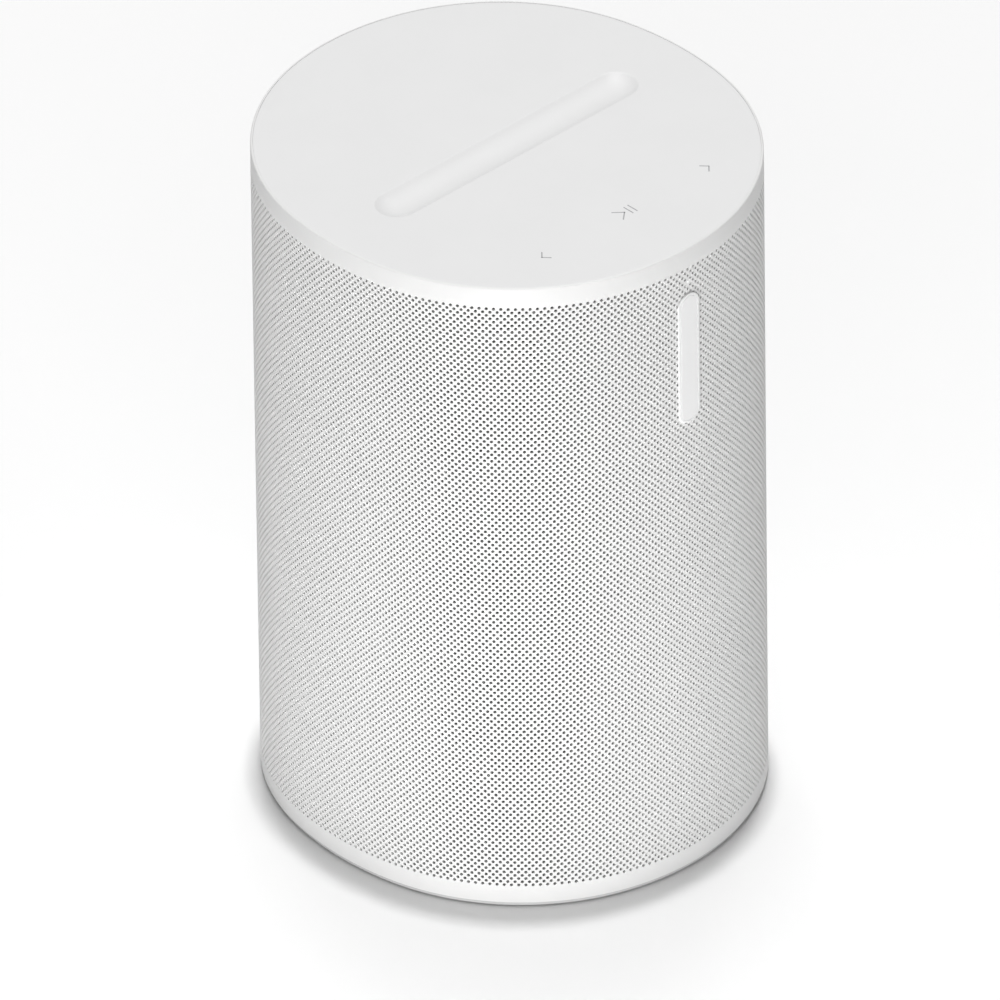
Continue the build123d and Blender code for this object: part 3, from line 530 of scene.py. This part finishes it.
def touch_symbols():
    """The thin printed symbols on the cover."""
    strokes = chevron(BACK_X, -SIDE_REACH, SIDE_HEIGHT)
    strokes += chevron(PLAY_X, PLAY_REACH, PLAY_HEIGHT)
    strokes += chevron(FORWARD_X, SIDE_REACH, SIDE_HEIGHT)
    low, high = SYMBOL_ROW_Y - PAUSE_HALF_HEIGHT, SYMBOL_ROW_Y + PAUSE_HALF_HEIGHT
    for x in PAUSE_X:
        strokes.append(stroke((x, low), (x, high)))
    points, faces = [], []
    for outline in strokes:
        base, count = len(points), len(outline)
        for z in (SLEEVE_TOP - 2 * COVER_DROP, SLEEVE_TOP - COVER_DROP / 2):
            points += [(x, y, z) for x, y in outline]
        faces.append(tuple(range(base + count, base + 2 * count)))
        faces.append(tuple(range(base + count - 1, base - 1, -1)))
        for k in range(count):
            after = (k + 1) % count
            faces.append((base + k, base + after, base + count + after, base + count + k))
    return add_piece("touch_symbols", points, faces, "symbol_ink", ["touch_icons"])


# ---- Badge ----


def front_badge():
    """A plain raised pill on the front, rounded at its edge, with a fine groove inside its rim."""
    low, high = node_box("front_badge")
    thickness = -HALF_DEPTH - low[1]
    radius, straight = high[0], (high[2] - low[2]) / 2 - high[0]
    middle_z = (low[2] + high[2]) / 2
    edge = BADGE_EDGE_RADIUS
    turn = arc_points((edge, -(thickness - edge)), edge, 180, 270, 5)
    groove_end = BADGE_RIM + 2 * BADGE_GROOVE
    groove_floor, slope = BADGE_GROOVE - thickness, BADGE_GROOVE / 2
    profile = [(radius, 0), (0, 0), *turn, (BADGE_RIM, -thickness)]
    profile += [(BADGE_RIM + slope, groove_floor), (groove_end - slope, groove_floor)]
    profile += [(reach, -thickness) for reach in (groove_end, radius * 0.6, radius * 0.8, radius)]
    angles = np.radians(np.arange(0, 360, 3.0) + 1.5)
    side = np.where(np.sin(angles) > 0, 1, -1)
    rings = []
    for reach, inset in profile:
        u = (radius - reach) * np.cos(angles)
        z = middle_z + side * straight + (radius - reach) * np.sin(angles)
        rings.append(wrap(u, z, inset))
    points, faces = swept_rings(rings[::-1], closed=False)
    return add_piece("badge_pill", points, faces, "badge_plastic", ["front_badge"], sharp=35, weld=True)


top_band()
bottom_band()
for sector in range(SECTORS):
    grille_sector(sector)
for window in WINDOWS:
    window_frame(*window)
top_cover()
touch_symbols()
front_badge()


# ---- Materials ----


class Recipe:
    """A node material under construction, with object coordinates in metres."""

    def __init__(self, name, colour, roughness, **inputs):
        self.material = bpy.data.materials.new(name)
        self.material.use_nodes = True
        self.tree = self.material.node_tree
        self.shader = self.tree.nodes["Principled BSDF"]
        self.place = self.add("ShaderNodeTexCoord").outputs["Object"]
        self.set("Base Color", (*colour, 1))
        self.set("Roughness", roughness)
        self.colour = colour
        for socket, value in inputs.items():
            self.set(socket.replace("_", " "), value)
        self.normal = None

    def add(self, kind, **settings):
        """A node of a kind, with its plain settings."""
        node = self.tree.nodes.new(kind)
        for key, value in settings.items():
            setattr(node, key, value)
        return node

    def set(self, socket, value):
        """Sets one of the shader's own sockets."""
        self.shader.inputs[socket].default_value = value

    def link(self, source, target):
        """Joins an output to an input."""
        self.tree.links.new(source, target)

    def stretched(self, factors):
        """Object coordinates scaled by a factor along each axis."""
        mapping = self.add("ShaderNodeMapping")
        mapping.inputs["Scale"].default_value = factors
        self.link(self.place, mapping.inputs["Vector"])
        return mapping.outputs["Vector"]

    def noise(self, size, detail=3.0, place=None):
        """Noise whose blotches are about a size in metres."""
        node = self.add("ShaderNodeTexNoise")
        node.inputs["Scale"].default_value = 1 / size
        node.inputs["Detail"].default_value = detail
        self.link(place or self.place, node.inputs["Vector"])
        return node.outputs["Fac"]

    def waves(self, size, axis, place=None):
        """Parallel ridges a size apart, in metres, across an axis."""
        node = self.add("ShaderNodeTexWave", bands_direction=axis, wave_profile="SIN")
        node.inputs["Scale"].default_value = 2 * math.pi / (20 * size)
        node.inputs["Distortion"].default_value = 0.0
        self.link(place or self.place, node.inputs["Vector"])
        return node.outputs["Fac"]

    def mapped(self, value, low, high):
        """A value from 0.3 to 0.7 spread between two others."""
        node = self.add("ShaderNodeMapRange")
        node.inputs["From Min"].default_value = 0.3
        node.inputs["From Max"].default_value = 0.7
        node.inputs["To Min"].default_value = low
        node.inputs["To Max"].default_value = high
        self.link(value, node.inputs["Value"])
        return node.outputs["Result"]

    def bump(self, height, distance, strength=1.0):
        """Adds relief of a depth in metres on top of what is there."""
        node = self.add("ShaderNodeBump")
        node.inputs["Distance"].default_value = distance
        node.inputs["Strength"].default_value = strength
        self.link(height, node.inputs["Height"])
        if self.normal:
            self.link(self.normal, node.inputs["Normal"])
        self.normal = node.outputs["Normal"]
        self.link(self.normal, self.shader.inputs["Normal"])

    def vary_roughness(self, value, spread):
        """Lets the roughness vary by a spread either way."""
        middle = self.shader.inputs["Roughness"].default_value
        low, high = max(middle - spread, 0.02), min(middle + spread, 1.0)
        self.link(self.mapped(value, low, high), self.shader.inputs["Roughness"])

    def tint(self, value, other, low=0.35, high=0.65):
        """Mixes the base colour with another one, by a value."""
        ramp = self.add("ShaderNodeValToRGB")
        ends = ramp.color_ramp.elements
        ends[0].position, ends[1].position = low, high
        ends[0].color, ends[1].color = (*self.colour, 1), (*other, 1)
        self.link(value, ramp.inputs["Fac"])
        self.link(ramp.outputs["Color"], self.shader.inputs["Base Color"])


def shaded(colour, factor):
    """A colour made darker or lighter."""
    return tuple(min(channel * factor, 1.0) for channel in colour)


def moulded(name, colour, roughness, grain=0.12 * MM, depth=0.004 * MM, drift=0.985, **inputs):
    """Moulded plastic: fine grain, patches of slightly different gloss, a faint drift in colour."""
    recipe = Recipe(name, colour, roughness, **inputs)
    recipe.tint(recipe.noise(18 * MM, 2), shaded(colour, drift))
    recipe.vary_roughness(recipe.noise(2.5 * MM), 0.04)
    recipe.bump(recipe.noise(grain, 2), depth)
    return recipe.material


def rubber(name, colour, roughness=0.7):
    """Soft rubber: an even bloom with small pits."""
    recipe = Recipe(name, colour, roughness, Specular_IOR_Level=0.35)
    recipe.tint(recipe.noise(3 * MM), shaded(colour, 1.25))
    recipe.vary_roughness(recipe.noise(0.8 * MM), 0.08)
    recipe.bump(recipe.noise(0.25 * MM, 4), 0.015 * MM)
    return recipe.material


def brushed(name, colour, roughness=0.32, factors=(40, 2, 2)):
    """Metal with fine streaks across it."""
    recipe = Recipe(name, colour, roughness, Metallic=1.0)
    streaks = recipe.noise(3.6 * MM, 4, recipe.stretched(factors))
    recipe.tint(streaks, shaded(colour, 0.86))
    recipe.vary_roughness(streaks, 0.09)
    recipe.bump(streaks, 0.004 * MM)
    return recipe.material


def painted(name, colour, roughness=0.45):
    """Powder paint: fine orange peel over metal."""
    recipe = Recipe(name, colour, roughness)
    recipe.tint(recipe.noise(6 * MM), shaded(colour, 1.2))
    recipe.vary_roughness(recipe.noise(1.5 * MM), 0.08)
    recipe.bump(recipe.noise(0.4 * MM, 3), 0.02 * MM)
    return recipe.material


def sintered(name, colour):
    """Ferrite: a dense grey ceramic with pores."""
    recipe = Recipe(name, colour, 0.55)
    recipe.tint(recipe.noise(1.2 * MM, 6), shaded(colour, 1.6))
    recipe.vary_roughness(recipe.noise(0.8 * MM), 0.12)
    recipe.bump(recipe.noise(0.3 * MM, 6), 0.03 * MM)
    return recipe.material


def circuit_board(name, colour):
    """Solder mask over copper tracks and patches."""
    recipe = Recipe(name, colour, 0.35)
    across = recipe.waves(1.6 * MM, "X")
    patches = recipe.noise(4 * MM, 1)
    recipe.tint(patches, shaded(colour, 1.9), 0.47, 0.5)
    recipe.vary_roughness(recipe.noise(1 * MM), 0.06)
    recipe.bump(across, 0.02 * MM)
    recipe.bump(patches, 0.03 * MM)
    return recipe.material


def fibres(name, colour, size=0.5 * MM, depth=0.12 * MM, other=1.3):
    """Pressed paper, felt or loose fibre."""
    recipe = Recipe(name, colour, 0.9, Specular_IOR_Level=0.2)
    strands = recipe.noise(size, 6, recipe.stretched((1, 1, 3)))
    crossing = recipe.noise(size, 6, recipe.stretched((3, 1, 1)))
    recipe.tint(strands, shaded(colour, other))
    recipe.bump(strands, depth)
    recipe.bump(crossing, depth)
    recipe.vary_roughness(crossing, 0.06)
    return recipe.material


def woven(name, colour, pitch=0.5 * MM, depth=0.08 * MM):
    """Plain woven cloth with a light coating."""
    recipe = Recipe(name, colour, 0.75, Specular_IOR_Level=0.3)
    warp, weft = recipe.waves(pitch, "X"), recipe.waves(pitch, "Z")
    recipe.tint(recipe.noise(2 * MM), shaded(colour, 0.8))
    recipe.bump(warp, depth)
    recipe.bump(weft, depth)
    recipe.vary_roughness(recipe.noise(1 * MM), 0.08)
    return recipe.material


def wound(name, colour, pitch=0.3 * MM):
    """Enamelled copper wire, wound close."""
    recipe = Recipe(name, colour, 0.3, Metallic=1.0)
    turns = recipe.waves(pitch, "Y")
    recipe.tint(turns, shaded(colour, 0.55), 0.1, 0.5)
    recipe.vary_roughness(turns, 0.08)
    recipe.bump(turns, 0.08 * MM)
    return recipe.material


def clear(name, colour, glow):
    """Frosted clear plastic with the status lamp's light in it."""
    light = {"Emission_Color": (*colour, 1), "Emission_Strength": glow}
    recipe = Recipe(name, colour, 0.35, Transmission_Weight=0.2, IOR=1.49, **light)
    recipe.vary_roughness(recipe.noise(0.6 * MM), 0.1)
    recipe.bump(recipe.noise(0.2 * MM), 0.004 * MM)
    return recipe.material


MATERIALS = {
    "sleeve_plastic": moulded("sleeve_plastic", COLOURS["sleeve"], 0.5),
    "cover_plastic": moulded("cover_plastic", COLOURS["cover"], 0.55, drift=0.99),
    "symbol_ink": moulded("symbol_ink", COLOURS["symbol"], 0.6),
    "badge_plastic": moulded("badge_plastic", (0.9, 0.9, 0.9), 0.35),
    "base_plastic": moulded("base_plastic", COLOURS["base"], 0.6, grain=0.3 * MM, depth=0.01 * MM),
    "foot_rubber": rubber("foot_rubber", (0.28, 0.28, 0.28)),
    "housing_plastic": moulded(
        "housing_plastic", (0.016, 0.016, 0.018), 0.55, depth=0.012 * MM, drift=1.4
    ),
    "circuit_board": circuit_board("circuit_board", (0.008, 0.009, 0.009)),
    "ferrite": sintered("ferrite", (0.012, 0.012, 0.014)),
    "aluminium": brushed("aluminium", (0.045, 0.045, 0.048), 0.5),
    "panel_plastic": moulded(
        "panel_plastic", (0.72, 0.72, 0.72), 0.6, grain=0.25 * MM, depth=0.012 * MM
    ),
    "button_plastic": moulded("button_plastic", (0.84, 0.84, 0.84), 0.4),
    "inlet_plastic": moulded(
        "inlet_plastic", (0.012, 0.012, 0.012), 0.5, grain=0.3 * MM, depth=0.015 * MM, drift=1.5
    ),
    "steel": brushed("steel", (0.52, 0.53, 0.55)),
    "basket_metal": painted("basket_metal", (0.012, 0.012, 0.013)),
    "seal_foam": rubber("seal_foam", (0.02, 0.02, 0.02), 0.85),
    "wadding": fibres("wadding", (0.6, 0.58, 0.52), 2.5 * MM, 1.2 * MM),
    "cone_paper": fibres("cone_paper", (0.02, 0.02, 0.021), other=2.0),
    "spider_cloth": woven("spider_cloth", (0.48, 0.32, 0.08)),
    "surround_rubber": rubber("surround_rubber", (0.006, 0.006, 0.006), 0.6),
    "coil_copper": wound("coil_copper", (0.55, 0.18, 0.06)),
    "dome_silk": woven("dome_silk", (0.012, 0.012, 0.012), 0.25 * MM, 0.03 * MM),
    "chip_plastic": moulded("chip_plastic", (0.01, 0.01, 0.01), 0.5, depth=0.01 * MM, drift=1.5),
    "clear_plastic": clear("clear_plastic", (0.92, 0.92, 0.92), 0.2),
    "wire_sheath": rubber("wire_sheath", (0.03, 0.03, 0.035), 0.5),
    "screw_steel": brushed("screw_steel", (0.09, 0.09, 0.1), 0.4),
}


def give_material(piece, slot):
    """Puts one material on all of a piece's faces."""
    piece.data.materials.clear()
    piece.data.materials.append(MATERIALS[slot])


for subpart in frame["record"]["subparts"]:
    give_material(frame["nodes"][subpart["node"]], subpart["material_slot"])
for piece in list(bpy.context.scene.objects):
    if "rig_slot" in piece:
        give_material(piece, piece["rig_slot"])


# ---- Floor, light and camera ----
# Each lamp's name, azimuth, elevation, distance, (width, height) and power
LAMPS = [
    ("overhead", 130, 88.1, 8.0, (0.25, 0.25), 268),
    ("softbox", 137, 87, 8.0, (2.8, 2.8), 148),
    ("front", -48, 14, 1.8, (1.2, 1.2), 8.5),
    ("low_front", -48, -10, 0.40, (0.20, 0.04), 0.6),
    ("rear", 137, 70, 4.4, (1.4, 1.4), 47),
]
WORLD_STRENGTH = 0.07


def add_floor():
    """A plain pale surface, finely uneven in tone."""
    half_width = 3.0
    corners = ((-1, -1), (1, -1), (1, 1), (-1, 1))
    points = [(x * half_width, y * half_width, 0) for x, y in corners]
    mesh = bpy.data.meshes.new("floor")
    mesh.from_pydata(points, [], [(0, 1, 2, 3)])
    floor = bpy.data.objects.new("floor", mesh)
    bpy.context.scene.collection.objects.link(floor)
    recipe = Recipe("floor", (0.985, 0.985, 0.985), 0.9, Specular_IOR_Level=0.1)
    recipe.tint(recipe.noise(200 * MM), (0.975, 0.975, 0.975))
    mesh.materials.append(recipe.material)


def add_light(name, azimuth, elevation, distance, size, power):
    """A soft lamp of (width, height) that faces the object's middle. Azimuth 0 stands in front of it."""
    turn, rise = math.radians(azimuth), math.radians(elevation)
    away = Vector((math.sin(turn) * math.cos(rise), -math.cos(turn) * math.cos(rise), math.sin(rise)))
    lamp = bpy.data.lights.new(name, "AREA")
    lamp.shape = "RECTANGLE"
    lamp.size, lamp.size_y = size
    lamp.energy = power
    light = bpy.data.objects.new(name, lamp)
    bpy.context.scene.collection.objects.link(light)
    light.location = away * distance + Vector((0, 0, (SLEEVE_BOTTOM + SLEEVE_TOP) / 2))
    light.rotation_euler = away.to_track_quat("Z", "Y").to_euler()


def add_world(colour, strength):
    """Even light from all round."""
    world = bpy.data.worlds.new("surroundings")
    world.use_nodes = True
    background = world.node_tree.nodes["Background"]
    background.inputs["Color"].default_value = (*colour, 1)
    background.inputs["Strength"].default_value = strength
    bpy.context.scene.world = world


# The camera, and how far its aim is from the body's middle
CAMERA_AZIMUTH = math.radians(-43.3)
CAMERA_ELEVATION = math.radians(34.7)
CAMERA_ROLL = math.radians(-0.71)
CAMERA_DISTANCE = 8.6
CAMERA_SPAN = 244.8 * MM
AIM_RIGHT = -2.6 * MM
AIM_UP = -12.0 * MM
AIM_RAISE = 0.25 * MM


def camera_axes():
    """The camera's right, up and backward directions."""
    sin_a, cos_a = math.sin(CAMERA_AZIMUTH), math.cos(CAMERA_AZIMUTH)
    sin_e, cos_e = math.sin(CAMERA_ELEVATION), math.cos(CAMERA_ELEVATION)
    back = Vector((sin_a * cos_e, -cos_a * cos_e, sin_e))
    level = Vector((cos_a, sin_a, 0))
    upright = back.cross(level)
    sin_r, cos_r = math.sin(CAMERA_ROLL), math.cos(CAMERA_ROLL)
    return level * cos_r + upright * sin_r, upright * cos_r - level * sin_r, back


def add_camera():
    """A long lens, well back, so that upright edges stay nearly parallel."""
    right, up, back = camera_axes()
    middle = Vector((0, 0, (SLEEVE_TOP + SLEEVE_BOTTOM) / 2 + AIM_RAISE))
    aim = middle + right * AIM_RIGHT + up * AIM_UP
    data = bpy.data.cameras.new("camera")
    data.lens = data.sensor_width * CAMERA_DISTANCE / CAMERA_SPAN
    data.clip_start, data.clip_end = 1.0, 30.0
    camera = bpy.data.objects.new("camera", data)
    bpy.context.scene.collection.objects.link(camera)
    turn = Matrix((right, up, back)).transposed().to_4x4()
    camera.matrix_world = Matrix.Translation(aim + back * CAMERA_DISTANCE) @ turn
    bpy.context.scene.camera = camera


add_floor()
add_world((1.0, 1.0, 1.0), WORLD_STRENGTH)
for lamp_settings in LAMPS:
    add_light(*lamp_settings)
add_camera()
bpy.context.scene.view_settings.view_transform = "Standard"
